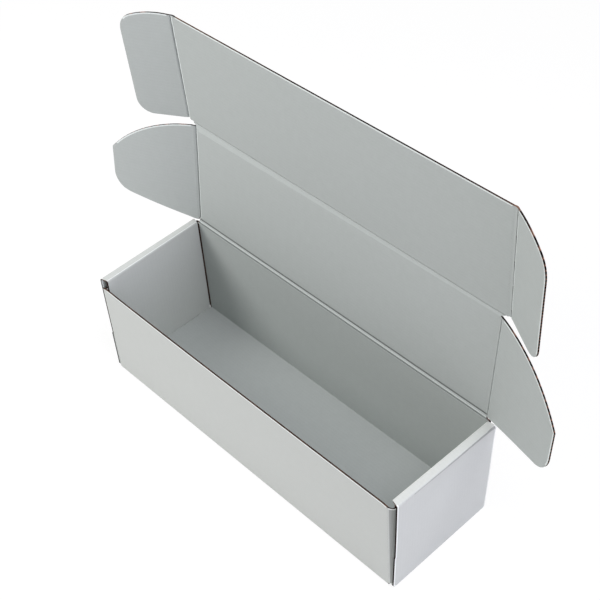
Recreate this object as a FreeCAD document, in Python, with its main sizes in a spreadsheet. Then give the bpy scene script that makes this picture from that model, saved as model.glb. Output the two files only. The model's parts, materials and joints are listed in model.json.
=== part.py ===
"""Shipping box: a roll-end mailer folded from one sheet of corrugated board.

Millimetres, +Z up, origin on the floor under the middle of the tray. X runs along the
box, -Y is the front and +Y the hinge side. The lid stands open, leaning back a little.
"""
import FreeCAD, Part
import os

import Sketcher
from FreeCAD import Placement, Rotation, Vector

document = FreeCAD.newDocument("ShippingBox")
sheet = document.addObject("Spreadsheet::Sheet", "Sizes")
aliases = []


class Size:
    """A number together with the sheet formula it comes from."""

    def __init__(self, value, formula):
        self.value = float(value)
        self.formula = formula

    def joined(self, sign, other, value):
        return Size(value, f"({self.formula} {sign} {formula_of(other)})")

    def __add__(self, other):
        return self.joined("+", other, self.value + number(other))

    def __sub__(self, other):
        return self.joined("-", other, self.value - number(other))

    def __mul__(self, other):
        return self.joined("*", other, self.value * number(other))

    def __truediv__(self, other):
        return self.joined("/", other, self.value / number(other))

    def __neg__(self):
        return Size(-self.value, f"(-{self.formula})")


def number(size):
    return size.value if isinstance(size, Size) else float(size)


def formula_of(size):
    return size.formula if isinstance(size, Size) else repr(size)


def driving(alias, value, meaning):
    """Write one driving dimension into the sheet and return it."""
    aliases.append(alias)
    row = len(aliases)
    sheet.set(f"A{row}", meaning)
    sheet.set(f"B{row}", str(value))
    sheet.setAlias(f"B{row}", alias)
    return Size(value, f"Sizes.{alias}")


# The board and its folds
board = driving("board", 1.5, "thickness of the corrugated board")
fold_radius = driving("fold_radius", 0.5, "inside radius of a folded corner")
layer_gap = driving("layer_gap", 0.15, "clearance between layers folded onto each other")
edge_land = driving("edge_land", 0.1, "flat left between the two roundings of a hinge edge")
hinge_clearance = driving("hinge_clearance", 0.3, "clearance at a hinge folded square")

# The tray
outer_length = driving("outer_length", 354, "length over the end walls at the floor")
outer_width = driving("outer_width", 112.8, "width over the front and back walls")
roll_height = driving("roll_height", 110.8, "height of the rolled end walls")
front_drop = driving("front_drop", 7.3, "front wall's top below the end walls")
rear_corner_drop = driving("rear_corner_drop", 3, "back wall's corners below the end walls")
hinge_rise = driving("hinge_rise", 0.6, "lid hinge axis above the end walls")
end_lean = driving("end_lean", 2.5, "how far an end wall leans out at its top")
end_clearance = driving("end_clearance", 0.2, "end wall's raw edges to the wall folds")
inner_gap_front = driving("inner_gap_front", 0.5, "inner end panel to the front wall")
inner_gap_rear = driving("inner_gap_rear", 2.5, "inner end panel to the back wall")

# Corner flaps, trapped between the two layers of an end wall
corner_flap_gap = driving("corner_flap_gap", 12.8, "between the tips of an end's two flaps")
corner_flap_drop = driving("corner_flap_drop", 9, "fall of its top edge to the tip")
corner_flap_lift = driving("corner_flap_lift", 1.2, "its lower edge above the floor panel")
corner_level = driving("corner_level", 3, "level part of its top edge beside the fold")

# Locking tabs of the inner end panels, and their slots in the floor panel
tab_width = driving("tab_width", 22, "width of a locking tab")
tab_pitch = driving("tab_pitch", 54, "distance between the two tabs of an end")
tab_lift = driving("tab_lift", 0.2, "tab's end above the underside of the box")
slot_gap = driving("slot_gap", 0.25, "clearance round a tab in its slot")

# The lid, the tuck flap and their side flaps
lid_side_gap = driving("lid_side_gap", 1.1, "lid's side crease in from an inner end panel")
lid_setback = driving("lid_setback", 5.55, "closed lid's tuck crease in from the front face")
tuck_overhang = driving("tuck_overhang", 2.2, "ear crease out from the foot of an end wall")
tuck_lift = driving("tuck_lift", 0.9, "closed tuck flap's free edge above the underside")
ear_crease_start = driving("ear_crease_start", 4.5, "tuck crease to the start of an ear crease")
side_flap_reach = driving("side_flap_reach", 84.5, "side crease to the side flap's end")
side_flap_start = driving("side_flap_start", 2.3, "lid hinge to the side flap at its crease")
side_flap_relief = driving("side_flap_relief", 0.8, "tuck crease to the side flap's crease")
side_flap_rise = driving("side_flap_rise", 18.6, "rise of its lower edge along the reach")
side_flap_tip = driving("side_flap_tip", 64.3, "lid hinge to the side flap's sharp corner")
side_flap_bow = driving("side_flap_bow", 115, "radius of the side flap's long curved edge")
side_flap_corner = driving("side_flap_corner", 20.5, "radius of its rounded lower corner")
ear_reach = driving("ear_reach", 49.5, "ear crease to the ear's end")
ear_bottom = driving("ear_bottom", 1.8, "tuck crease to the ear's lower corner")
ear_top_drop = driving("ear_top_drop", 10.3, "ear's upper corner below the free edge")
ear_bow = driving("ear_bow", 70, "radius of the ear's curved upper edge")
ear_lower_corner = driving("ear_lower_corner", 14.5, "radius of its lower corner")
ear_upper_corner = driving("ear_upper_corner", 7, "radius of its upper corner")

# How the box stands open, in degrees
lid_lean = driving("lid_lean", 4.9, "lid back past upright")
tuck_fold = driving("tuck_fold", 7.1, "tuck flap forward of the lid")
side_fold_left = driving("side_fold_left", 26, "left side flap in from the lid")
side_fold_right = driving("side_fold_right", 21, "right side flap in from the lid")
ear_fold_left = driving("ear_fold_left", 25, "left ear in from the tuck flap")
ear_fold_right = driving("ear_fold_right", 28, "right ear in from the tuck flap")

# What follows from them
outside_radius = fold_radius + board
half_length = outer_length / 2
half_width = outer_width / 2
wall_inside = half_width - board
end_setback = outside_radius + end_clearance
corner_flap_face = half_length - board - layer_gap
wall_end = corner_flap_face - outside_radius
inner_panel_face = half_length - board * 3 - layer_gap * 2
inner_panel_back = inner_panel_face + board
inner_panel_bottom = board + layer_gap
front_height = roll_height - front_drop
rear_corner_height = roll_height - rear_corner_drop
nose_radius = (board - edge_land) / 2
hinge_height = roll_height + hinge_rise
hinge_setback = half_width - board / 2
fold_start = board / 2 + hinge_clearance
lid_half = inner_panel_face - lid_side_gap
lid_depth = half_width + hinge_setback - lid_setback
side_flap_stop = lid_depth - side_flap_relief
tuck_half = half_length + tuck_overhang
tuck_depth = hinge_height - tuck_lift
ear_top = tuck_depth - ear_top_drop

X_AXIS, Y_AXIS, Z_AXIS = Vector(1, 0, 0), Vector(0, 1, 0), Vector(0, 0, 1)
H_AXIS, V_AXIS, ORIGIN = -1, -2, (-1, 1)


def bind(thing, field, size):
    thing.setExpression(field, formula_of(size))


def new_body(label):
    body = document.addObject("PartDesign::Body", label)
    body.Label = label
    return body


def origin_plane(body, role):
    return next(p for p in body.Origin.OriginFeatures if p.Role == role)


def side_curve(start, end, radius):
    """The side between two corners: straight, or an arc counter-clockwise from start to end."""
    if radius is None:
        return Part.LineSegment(start, end)
    chord = end - start
    along = Vector(chord).normalize()
    rise = (number(radius) ** 2 - (chord.Length / 2) ** 2) ** 0.5
    centre = (start + end) / 2 + Vector(-along.y, along.x, 0) * rise
    circle = Part.Circle(centre, Z_AXIS, number(radius))
    return Part.ArcOfCircle(circle, circle.parameter(start), circle.parameter(end))


def pin_coordinate(sketch, point, kind, axis, value):
    """Hold a corner at a distance from the sketch's origin along one axis."""
    if not isinstance(value, Size):
        sketch.addConstraint(Sketcher.Constraint("PointOnObject", *point, axis))
        return
    index = sketch.addConstraint(Sketcher.Constraint(kind, *ORIGIN, *point, value.value))
    bind(sketch, f"Constraints[{index}]", value)


def new_sketch(body, name, role, outlines, offset=None):
    """A fully constrained sketch of closed outlines, each a counter-clockwise list of corners.

    A corner is (x, y), or (x, y, radius) where an arc runs from it to the next corner. A
    negative radius is a hollow arc. A coordinate is a Size, or 0 for a corner on the axis.
    The offset lifts the sketch off its plane.
    """
    sketch = body.newObject("Sketcher::SketchObject", name)
    sketch.AttachmentSupport = (origin_plane(body, role), [""])
    sketch.MapMode = "FlatFace"
    if offset is not None:
        bind(sketch, ".AttachmentOffset.Base.z", offset)
    for corners in outlines:
        first = len(sketch.Geometry)
        count = len(corners)
        points = [Vector(number(c[0]), number(c[1]), 0) for c in corners]
        radii = [c[2] if len(c) == 3 else None for c in corners]
        hollow = [radius is not None and number(radius) < 0 for radius in radii]
        for i in range(count):
            start, end = points[i], points[(i + 1) % count]
            if hollow[i]:
                sketch.addGeometry(side_curve(end, start, -radii[i]))
            else:
                sketch.addGeometry(side_curve(start, end, radii[i]))
        starts = [(first + i, 2 if hollow[i] else 1) for i in range(count)]
        ends = [(first + i, 1 if hollow[i] else 2) for i in range(count)]
        for i, corner in enumerate(corners):
            following = starts[(i + 1) % count]
            sketch.addConstraint(Sketcher.Constraint("Coincident", *ends[i], *following))
            pin_coordinate(sketch, starts[i], "DistanceX", V_AXIS, corner[0])
            pin_coordinate(sketch, starts[i], "DistanceY", H_AXIS, corner[1])
            if radii[i] is not None:
                radius = -radii[i] if hollow[i] else radii[i]
                arc = first + i
                index = sketch.addConstraint(Sketcher.Constraint("Radius", arc, radius.value))
                bind(sketch, f"Constraints[{index}]", radius)
    return sketch


def pad(body, name, sketch, length, symmetric=False):
    feature = body.newObject("PartDesign::Pad", name)
    feature.Profile = sketch
    feature.SideType = "Symmetric" if symmetric else "One side"
    bind(feature, "Length", length)
    document.recompute()
    return feature


def pocket(body, name, sketch, length):
    """A cut to both sides of its sketch, half the length each way."""
    before = body.Tip.Shape.Volume
    feature = body.newObject("PartDesign::Pocket", name)
    feature.Profile = sketch
    feature.SideType = "Symmetric"
    bind(feature, "Length", length)
    document.recompute()
    if feature.Shape.Volume > before - 1:
        raise RuntimeError(f"{name} cuts nothing")
    return feature


def edges_on_line(shape, point, direction):
    """Names of the straight edges that lie on the line through a point."""
    names = []
    for i, edge in enumerate(shape.Edges, 1):
        ends = [vertex.Point for vertex in edge.Vertexes]
        straight = isinstance(edge.Curve, Part.Line) and len(ends) == 2
        if straight and all(end.distanceToLine(point, direction) < 0.001 for end in ends):
            names.append(f"Edge{i}")
    return names


def round_edges(body, name, points, direction, radius):
    """Round every edge that runs in a direction through one of the points."""
    base = body.Tip
    names = []
    for point in points:
        place = Vector(*[number(coordinate) for coordinate in point])
        found = edges_on_line(base.Shape, place, direction)
        if not found:
            raise RuntimeError(f"{name} finds no edge at {place}")
        names += found
    fillet = body.newObject("PartDesign::Fillet", name)
    fillet.Base = (base, names)
    bind(fillet, "Radius", radius)
    document.recompute()


def rectangle(left, bottom, right, top):
    return [(left, bottom), (right, bottom), (right, top), (left, top)]


def lean_at(height):
    """How far the end wall has leaned out at a height."""
    return end_lean * height / roll_height


def make_end_wall(tray):
    """Floor strip, outer panel, top band and inner panel: one strip folded over three times."""
    band_underside = roll_height - board
    strip_start = wall_end - board
    panel_inside = half_length - board
    profile = [
        (strip_start, 0),
        (half_length, 0),
        (half_length + end_lean, roll_height),
        (inner_panel_face, roll_height),
        (inner_panel_face, inner_panel_bottom),
        (inner_panel_back, inner_panel_bottom),
        (inner_panel_back, band_underside),
        (panel_inside + lean_at(band_underside), band_underside),
        (panel_inside + lean_at(board), board),
        (strip_start, board),
    ]
    rear_edge = half_width - end_setback
    sketch = new_sketch(tray, "EndWallProfile", "XZ_Plane", [profile], -rear_edge)
    pad(tray, "EndWall", sketch, rear_edge * 2)

    # The inner panel and its side of the band stop short of the front and back walls.
    before_panel = inner_panel_face - board
    beyond_panel = inner_panel_back + layer_gap / 2
    rear_stop = wall_inside - inner_gap_rear
    front_stop = -wall_inside + inner_gap_front
    rear_trim = [
        (before_panel, rear_stop),
        (inner_panel_back, rear_stop),
        (corner_flap_face, rear_edge),
        (corner_flap_face, half_width),
        (before_panel, half_width),
    ]
    front_trim = rectangle(before_panel, -half_width, beyond_panel, front_stop)
    sketch = new_sketch(tray, "InnerPanelEnds", "XY_Plane", [rear_trim, front_trim])
    pocket(tray, "InnerPanelTrim", sketch, roll_height * 3)

    outside = [
        (half_length, 0, 0),
        (half_length + end_lean, 0, roll_height),
        (inner_panel_face, 0, roll_height),
    ]
    inside = [
        (panel_inside + lean_at(board), 0, board),
        (panel_inside + lean_at(band_underside), 0, band_underside),
        (inner_panel_back, 0, band_underside),
    ]
    round_edges(tray, "EndWallOutsideFolds", outside, Y_AXIS, outside_radius)
    round_edges(tray, "EndWallInsideFolds", inside, Y_AXIS, fold_radius)


def make_floor_and_walls(tray):
    """Floor, front wall and back wall, up to where the end wall's fold begins."""
    flat_half = half_width - outside_radius
    fold_top = board + fold_radius
    profile = [
        (-flat_half, 0),
        (flat_half, 0, outside_radius),
        (half_width, outside_radius),
        (half_width, rear_corner_height),
        (wall_inside, rear_corner_height),
        (wall_inside, fold_top, -fold_radius),
        (flat_half, board),
        (-flat_half, board, -fold_radius),
        (-wall_inside, fold_top),
        (-wall_inside, front_height),
        (-half_width, front_height),
        (-half_width, outside_radius, outside_radius),
    ]
    sketch = new_sketch(tray, "WallProfile", "YZ_Plane", [profile])
    pad(tray, "FloorAndWalls", sketch, wall_end)

    # The back wall stands higher between its corners and ends in the lid's hinge edge.
    hinge_top = hinge_height + nose_radius
    strip = rectangle(wall_inside, front_height, half_width, hinge_top)
    sketch = new_sketch(tray, "HingeStripProfile", "YZ_Plane", [strip])
    pad(tray, "HingeStrip", sketch, lid_half + nose_radius)
    hinge_edges = [(0, wall_inside, hinge_top), (0, half_width, hinge_top)]
    round_edges(tray, "HingeNose", hinge_edges, X_AXIS, nose_radius)


def make_locking_tabs(tray):
    """Two tabs under the inner end panel, each through its own slot in the floor."""
    slots = []
    tabs = []
    for centre in (-tab_pitch / 2, tab_pitch / 2):
        low, high = centre - tab_width / 2, centre + tab_width / 2
        slots.append(rectangle(inner_panel_face - slot_gap, low - slot_gap,
                               inner_panel_back + slot_gap, high + slot_gap))
        tabs.append(rectangle(low, tab_lift, high, inner_panel_bottom + board))
    sketch = new_sketch(tray, "TabSlotOutlines", "XY_Plane", slots)
    pocket(tray, "TabSlots", sketch, board * 2)
    sketch = new_sketch(tray, "TabOutlines", "YZ_Plane", tabs, inner_panel_face)
    pad(tray, "LockingTabs", sketch, board)


def corner_section(near, far):
    """Plan of a wall's end folded square into its corner flap, for the corner at far Y."""
    bend_x = corner_flap_face - outside_radius
    bend_y = near + outside_radius
    flap_inside = corner_flap_face - board
    return [
        (bend_x - board, near),
        (bend_x, near, outside_radius),
        (corner_flap_face, bend_y),
        (corner_flap_face, far),
        (flap_inside, far),
        (flap_inside, bend_y, -fold_radius),
        (bend_x, near + board),
        (bend_x - board, near + board),
    ]


def mirrored_section(corners):
    """The same outline with Y reversed, walked the other way so that it stays closed."""
    flipped = []
    for i in range(len(corners)):
        corner, before = corners[-i], corners[-i - 1]
        flipped.append((corner[0], -corner[1], *before[2:]))
    return flipped


def make_corner_flaps(tray):
    """Flaps on the ends of the front and back walls, folded in behind the outer end panel."""
    bottom = board + corner_flap_lift
    tip = corner_flap_gap / 2
    front = corner_section(-half_width, -tip)
    sections = (("Front", front, front_height),
                ("Rear", mirrored_section(front), rear_corner_height))
    for name, section, top in sections:
        sketch = new_sketch(tray, f"{name}CornerSection", "XY_Plane", [section], bottom)
        pad(tray, f"{name}CornerFlap", sketch, top - bottom)

    # Each flap's top edge falls towards its tip.
    level_end = half_width - corner_level
    beyond_tip = tip - board
    front_slope = [
        (-level_end, front_height),
        (-beyond_tip, front_height - corner_flap_drop),
        (-beyond_tip, front_height + board / 2),
        (-level_end, front_height + board / 2),
    ]
    rear_slope = [
        (level_end, rear_corner_height),
        (level_end, rear_corner_height + board / 2),
        (beyond_tip, rear_corner_height + board / 2),
        (beyond_tip, rear_corner_height - corner_flap_drop),
    ]
    middle = corner_flap_face - board / 2
    sketch = new_sketch(tray, "FlapSlopes", "YZ_Plane", [front_slope, rear_slope], middle)
    pocket(tray, "SlopingTops", sketch, board + layer_gap)


def make_tray():
    """The right half of the tray, mirrored whole to the left."""
    tray = new_body("tray")
    make_end_wall(tray)
    make_floor_and_walls(tray)
    make_locking_tabs(tray)
    make_corner_flaps(tray)
    mirrored = tray.newObject("PartDesign::Mirrored", "BothEnds")
    mirrored.TransformMode = "Whole shape"
    mirrored.MirrorPlane = (origin_plane(tray, "YZ_Plane"), [""])
    tray.Tip = mirrored
    document.recompute()
    return tray


def make_panel(label, outline):
    """A flat panel in its own frame: hinge axis along X or Y, its mid-plane at Z = 0."""
    panel = new_body(label)
    sketch = new_sketch(panel, f"{label}_outline", "XY_Plane", [outline])
    pad(panel, f"{label}_board", sketch, board, symmetric=True)
    return panel


def hinge_edge_pair(x, y):
    """The two edges, one on each face, of a panel's side at a place."""
    return [(x, y, -board / 2), (x, y, board / 2)]


def make_lid():
    side = lid_half + nose_radius
    far = lid_depth + nose_radius
    lid = make_panel("lid_panel", rectangle(-side, fold_start, side, far))
    ends = hinge_edge_pair(-side, 0) + hinge_edge_pair(side, 0)
    round_edges(lid, "SideNoses", ends, Y_AXIS, nose_radius)
    round_edges(lid, "TuckNose", hinge_edge_pair(0, far), X_AXIS, nose_radius)
    return lid


def make_tuck_flap():
    root = lid_half + nose_radius
    side = tuck_half + nose_radius
    outline = [
        (-root, fold_start),
        (root, fold_start),
        (side, ear_crease_start),
        (side, tuck_depth),
        (-side, tuck_depth),
        (-side, ear_crease_start),
    ]
    tuck = make_panel("tuck_flap", outline)
    ends = hinge_edge_pair(-side, 0) + hinge_edge_pair(side, 0)
    round_edges(tuck, "EarNoses", ends, Y_AXIS, nose_radius)
    return tuck


def make_side_flap(label):
    """Lid side flap: a sloping lower edge, one rounded and one sharp corner, a long bow."""
    outline = [
        (fold_start, side_flap_start),
        (side_flap_reach, side_flap_start + side_flap_rise),
        (side_flap_reach, side_flap_tip, side_flap_bow),
        (fold_start, side_flap_stop),
    ]
    flap = make_panel(label, outline)
    corner = [(side_flap_reach, side_flap_start + side_flap_rise, 0)]
    round_edges(flap, f"{label}_corner", corner, Z_AXIS, side_flap_corner)
    return flap


def make_ear(label):
    """Tuck flap ear: straight outer edge between a large and a small rounded corner."""
    outline = [
        (fold_start, ear_crease_start),
        (ear_reach, ear_bottom),
        (ear_reach, ear_top, ear_bow),
        (fold_start, tuck_depth),
    ]
    ear = make_panel(label, outline)
    lower, upper = (ear_reach, ear_bottom, 0), (ear_reach, ear_top, 0)
    round_edges(ear, f"{label}_lower", [lower], Z_AXIS, ear_lower_corner)
    round_edges(ear, f"{label}_upper", [upper], Z_AXIS, ear_upper_corner)
    return ear


def turned(offset, axis, degrees):
    return Placement(Vector(*[number(value) for value in offset]), Rotation(axis, degrees))


def end_fold(half, side, fold):
    """Place of a flap on a panel's end: the left one is the right one turned half round."""
    degrees = -number(fold) if side > 0 else 180 + number(fold)
    return turned((half * side, 0, 0), Y_AXIS, degrees)


lid_frame = turned((0, hinge_setback, hinge_height), X_AXIS, 90 - lid_lean.value)
tuck_frame = lid_frame * turned((0, lid_depth, 0), X_AXIS, tuck_fold.value)

placed_parts = [
    (make_tray(), Placement()),
    (make_lid(), lid_frame),
    (make_tuck_flap(), tuck_frame),
    (make_side_flap("lid_side_flap_left"), lid_frame * end_fold(lid_half, -1, side_fold_left)),
    (make_side_flap("lid_side_flap_right"), lid_frame * end_fold(lid_half, 1, side_fold_right)),
    (make_ear("tuck_ear_left"), tuck_frame * end_fold(tuck_half, -1, ear_fold_left)),
    (make_ear("tuck_ear_right"), tuck_frame * end_fold(tuck_half, 1, ear_fold_right)),
]
for part, place in placed_parts:
    part.Placement = place
document.recompute()

for thing in document.Objects:
    if "Invalid" in thing.State or "Error" in thing.State:
        raise RuntimeError(f"{thing.Name} failed: {thing.State}")
for part, place in placed_parts:
    shape = part.Shape
    if shape.isNull() or not shape.isValid() or len(shape.Solids) != 1:
        raise RuntimeError(f"{part.Label} is not one valid solid")

os.makedirs("parts", exist_ok=True)
for part, place in placed_parts:
    part.Shape.exportStep(f"parts/{part.Label}.step")
    print(part.Label, "volume", round(part.Shape.Volume), "mm3", part.Shape.BoundBox)
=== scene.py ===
"""Looks of the roll-end shipping box: corrugated board, creases, paper finishes and light."""

import json
import math
from dataclasses import dataclass

import bmesh
import bpy
import numpy as np
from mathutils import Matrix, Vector
from mathutils.geometry import convex_hull_2d

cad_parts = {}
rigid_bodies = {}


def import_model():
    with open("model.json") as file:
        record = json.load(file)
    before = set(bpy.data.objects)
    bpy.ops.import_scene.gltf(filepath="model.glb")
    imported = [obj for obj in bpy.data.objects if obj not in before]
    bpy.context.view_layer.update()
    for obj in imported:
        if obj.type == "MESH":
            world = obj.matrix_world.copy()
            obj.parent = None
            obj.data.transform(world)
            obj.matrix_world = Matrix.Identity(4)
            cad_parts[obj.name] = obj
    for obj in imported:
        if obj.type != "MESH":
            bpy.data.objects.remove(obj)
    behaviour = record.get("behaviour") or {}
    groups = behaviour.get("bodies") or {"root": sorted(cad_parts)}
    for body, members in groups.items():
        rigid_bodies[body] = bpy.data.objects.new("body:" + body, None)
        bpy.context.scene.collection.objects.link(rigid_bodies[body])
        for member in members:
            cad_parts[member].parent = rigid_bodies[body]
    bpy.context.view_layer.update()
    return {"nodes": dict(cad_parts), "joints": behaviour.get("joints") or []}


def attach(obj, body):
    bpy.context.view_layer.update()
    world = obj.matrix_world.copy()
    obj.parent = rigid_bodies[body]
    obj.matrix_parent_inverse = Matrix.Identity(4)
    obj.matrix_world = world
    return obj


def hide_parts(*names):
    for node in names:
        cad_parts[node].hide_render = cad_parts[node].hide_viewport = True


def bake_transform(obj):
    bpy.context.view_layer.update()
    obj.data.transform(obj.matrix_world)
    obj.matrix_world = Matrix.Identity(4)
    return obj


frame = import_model()

MM = 0.001

# The board: two white liners on a kraft medium, flutes along the blank's length
BOARD = 1.5 * MM
LINER = 0.24 * MM
MEDIUM = 0.17 * MM
FLUTE_PITCH = 3.2 * MM
ROWS_PER_FLUTE = 10
MIDDLE = BOARD / 2
WAVE_HEIGHT = MIDDLE - LINER - MEDIUM / 2

# Die-cut edges are pressed thinner over a narrow rim
RIM = 1.3 * MM
RIM_PRESS = 0.06
LOWER_RIM = 1.2 * RIM

# The board is pressed thinner in a fold too, and a little to each side of it
FOLD_RADIUS = 0.9 * MM
FOLD_PRESS = 0.12
FOLD_MARGIN = 1.2 * MM
LINES_PER_FOLD = 6

# How far to each side of its hinge a crease bends
CREASE_HALF = 3.0 * MM

# How far apart a flat board is divided, how near two lines are to be the same, and how
# narrow a face of the medium is to be left out
GRID = 9 * MM
SAME_LINE = 0.02 * MM
NO_WIDTH = 1e-8

# Faces that meet at more than this show an edge
SHARP_ANGLE = math.radians(38)

# The rim, crease, flute-end, fold and upper-face finishes paint light and shade: highlights,
# light, half shade and shade
(OUTSIDE, INSIDE, KRAFT, OUTSIDE_RIM_HIGHLIGHT, INSIDE_RIM_HIGHLIGHT,
 CREASE_PAINTED_HIGHLIGHT, CREASE_PAINTED_LIGHT, CREASE_PAINTED_HALF_SHADE, CREASE_PAINTED_SHADE, FLUTE_ENDS, FOLD_PAINTED_SHADE,
 OUTSIDE_PAINTED_LIGHT) = range(12)
RIM_HIGHLIGHT_OF = {OUTSIDE: OUTSIDE_RIM_HIGHLIGHT, INSIDE: INSIDE_RIM_HIGHLIGHT, KRAFT: KRAFT}


# ---------------------------------------------------------------- finishes

class Wire:
    """A number socket; Python operators on it add Math nodes."""

    def __init__(self, nodes, socket):
        self.nodes = nodes
        self.socket = socket

    def math(self, operation, *values):
        node = self.nodes.add("ShaderNodeMath", {"operation": operation},
                              dict(enumerate(values)))
        return Wire(self.nodes, node.outputs[0])

    def __add__(self, other):
        return self.math("ADD", self, other)

    def __mul__(self, other):
        return self.math("MULTIPLY", self, other)

    def sine(self):
        return self.math("SINE", self)

    def above(self, threshold):
        return self.math("GREATER_THAN", self, threshold)


class Nodes:
    """The node tree of a material or of the world."""

    def __init__(self, owner):
        owner.use_nodes = True
        self.tree = owner.node_tree
        self.tree.nodes.clear()

    def add(self, kind, settings=None, inputs=None):
        made = self.tree.nodes.new(kind)
        for key, value in (settings or {}).items():
            if key == "stops":
                ramp = made.color_ramp
                while len(ramp.elements) < len(value):
                    ramp.elements.new(0.5)
                for element, (place, colour) in zip(ramp.elements, value):
                    element.position = place
                    element.color = colour
            else:
                setattr(made, key, value)
        for key, value in (inputs or {}).items():
            if isinstance(value, Wire):
                value = value.socket
            if isinstance(value, bpy.types.NodeSocket):
                self.tree.links.new(value, made.inputs[key])
            else:
                made.inputs[key].default_value = value
        return made

    def sheet(self):
        """A place on the flat blank, and the wave of the flutes there."""
        place = self.add("ShaderNodeUVMap", {"uv_map": "sheet"}).outputs[0]
        across = Wire(self, self.add("ShaderNodeSeparateXYZ", None, {0: place}).outputs[1])
        return place, (across * (2 * math.pi / FLUTE_PITCH)).sine()

    def noise(self, place, scale, detail, roughness=0.5):
        made = self.add("ShaderNodeTexNoise", None,
                        {"Vector": place, "Scale": scale, "Detail": detail,
                         "Roughness": roughness})
        return Wire(self, made.outputs[0])

    def seen(self):
        """One for the rays that show a surface, nothing for those that only light others."""
        rays = self.add("ShaderNodeLightPath").outputs
        return (Wire(self, rays["Is Camera Ray"]) + Wire(self, rays["Is Glossy Ray"])
                + Wire(self, rays["Is Transmission Ray"]))

    def paper_surface(self, base, roughness, specular, bump):
        strength, depth, height = bump
        normal = self.add("ShaderNodeBump", None,
                          {"Strength": strength, "Distance": depth,
                           "Height": height}).outputs[0]
        shader = self.add("ShaderNodeBsdfPrincipled", None,
                          {"Base Color": base, "Roughness": roughness, "Normal": normal,
                           "Specular IOR Level": specular})
        self.add("ShaderNodeOutputMaterial", None, {"Surface": shader.outputs[0]})


# White paper's tints: the unprinted side is a little greener and greyer
PRINTED = (0.968, 1, 0.965)
PLAIN = (0.94, 1, 0.972)
SPECK = (0.36, 0.31, 0.26, 1)


def paper(name, tint, light, dark, roughness, speck_share):
    """White liner paper: fibres, soft mottle, the flutes just showing, and a few specks."""
    material = bpy.data.materials.new(name)
    nodes = Nodes(material)
    sheet, flutes = nodes.sheet()
    stops = [(place, (*[level * part for part in tint], 1))
             for place, level in ((0.30, dark), (0.66, light))]
    stretched = nodes.add("ShaderNodeVectorMath", {"operation": "MULTIPLY"},
                          {0: sheet, 1: (0.35, 1, 1)}).outputs[0]
    fibre = nodes.noise(stretched, 1500, 5, 0.6)
    mottle = nodes.noise(sheet, 140, 4, 0.6)
    clean = nodes.add("ShaderNodeValToRGB", {"stops": stops},
                      {0: mottle * 0.35 + fibre * 0.6 + flutes * 0.04}).outputs[0]
    specks = nodes.noise(sheet, 620, 1).above(speck_share) * 0.25
    base = nodes.add("ShaderNodeMix", {"data_type": "RGBA"},
                     {0: specks, 6: clean, 7: SPECK}).outputs[2]
    nodes.paper_surface(base, mottle * 0.10 + (roughness - 0.05), 0.35,
                        (0.5, 0.06 * MM, fibre * 0.5 + mottle * 0.5 + flutes * 0.22))
    return material


def kraft(name, flute_shade, stops):
    """Raw board edge and medium: brown fibre with pale nicks, darker between the flutes as
    painted shade.
    """
    material = bpy.data.materials.new(name)
    nodes = Nodes(material)
    sheet, flutes = nodes.sheet()
    fine = nodes.noise(sheet, 900, 6, 0.65)
    broad = nodes.noise(sheet, 70, 3)
    base = nodes.add("ShaderNodeValToRGB", {"stops": stops},
                     {0: fine * 0.5 + broad * 0.5 + flutes * flute_shade}).outputs[0]
    nodes.paper_surface(base, 0.9, 0.2, (0.7, 0.1 * MM, fine))
    return material


# ---------------------------------------------------------------- board geometry

def new_object(name, data):
    """An object made and put into the scene."""
    made = bpy.data.objects.new(name, data)
    bpy.context.collection.objects.link(made)
    return made


class Piece:
    """One object in the making: closed layers of board with their finishes."""

    def __init__(self, name):
        self.name = name
        self.points = []
        self.faces = []
        self.finishes = []
        self.sheet = []

    def add(self, points, faces, finishes, sheet):
        start = sum(len(block) for block in self.points)
        self.points.append(points)
        self.sheet.append(sheet)
        self.faces += [[start + i for i in face] for face in faces]
        self.finishes += finishes

    def build(self):
        mesh = bpy.data.meshes.new(self.name)
        mesh.from_pydata(np.concatenate(self.points).tolist(), [], self.faces)
        for material in FINISHES:
            mesh.materials.append(material)
        mesh.polygons.foreach_set("material_index", self.finishes)
        corners = np.zeros(len(mesh.loops), dtype=np.int32)
        mesh.loops.foreach_get("vertex_index", corners)
        uv = mesh.uv_layers.new(name="sheet")
        uv.data.foreach_set("uv", np.concatenate(self.sheet)[corners].ravel())
        work = bmesh.new()
        work.from_mesh(mesh)
        bmesh.ops.recalc_face_normals(work, faces=work.faces)
        work.to_mesh(mesh)
        work.free()
        mesh.shade_smooth()
        mesh.set_sharp_from_angle(angle=SHARP_ANGLE)
        return new_object(self.name, mesh)


def mix(start, end, share):
    return start + (end - start) * share


def unit(vector):
    return np.array(vector) / np.linalg.norm(vector)


def pairs(items):
    """Each item with the next one, and the last with the first."""
    return zip(items, [*items[1:], items[0]])


def grid_faces(rows, columns):
    """The faces between a grid's points, which are numbered row by row."""
    return [[a, a + 1, a + 1 + columns, a + columns]
            for i in range(rows - 1) for a in range(i * columns, (i + 1) * columns - 1)]


def closed(faces, edges, count):
    """The faces of a layer with count points on either side: lower, upper, around its edges."""
    return ([face[::-1] for face in faces] + [[i + count for i in face] for face in faces]
            + [[a, b, b + count, a + count] for a, b in edges])


def spread(low, high, step):
    """Evenly spaced values between two ends, both ends left out."""
    count = max(1, round((high - low) / step))
    return list(np.linspace(low, high, count + 1)[1:-1])


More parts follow.
